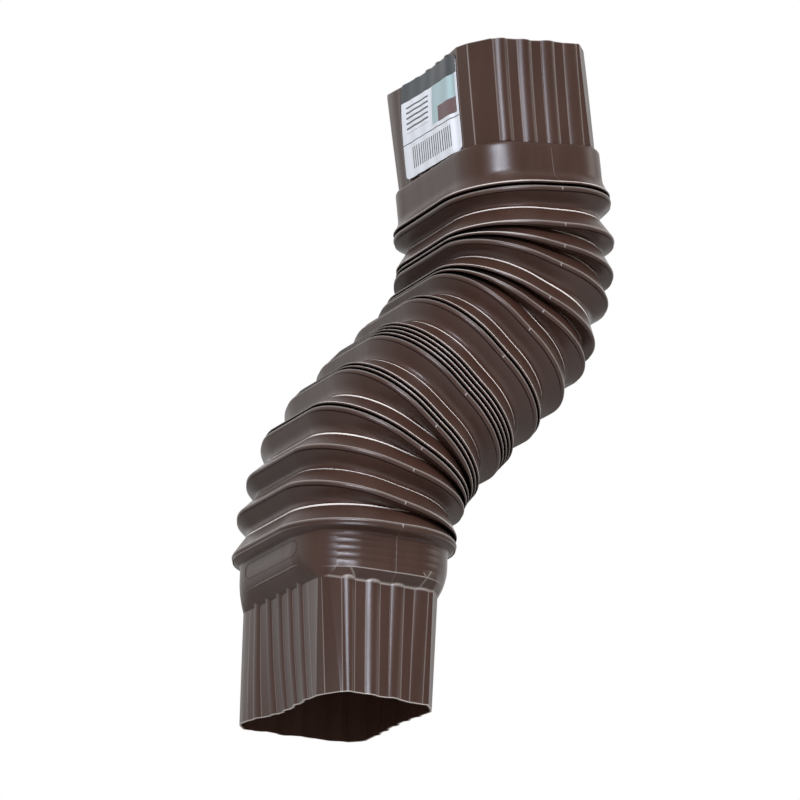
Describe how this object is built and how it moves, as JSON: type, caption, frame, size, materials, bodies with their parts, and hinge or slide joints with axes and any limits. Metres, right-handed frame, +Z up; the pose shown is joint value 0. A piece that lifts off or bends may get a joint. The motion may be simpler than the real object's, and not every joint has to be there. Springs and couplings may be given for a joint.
{
  "type": "downspout elbow",
  "caption": "Flexible rectangular downspout elbow: a thin vinyl bellows between two fluted sleeves, bent by hand into an offset, with a paper label on the inlet.",
  "frame": {"origin": "centre of the overall bounding box, at the height of the outlet rim", "axes": "+Z up, from the outlet to the inlet; X is the narrow way of the pipe and the way it bends, with the inlet set off towards +X; Y is the wide way of the pipe"},
  "size_m": [0.1482, 0.103, 0.296],
  "materials": {
    "brown_vinyl": "blow-moulded dark brown vinyl with a soft sheen",
    "label_paper": "smooth coated label stock"
  },
  "bodies": {
    "root": {"flexible_elbow": "brown_vinyl", "label": "label_paper"}
  },
  "joints": []
}
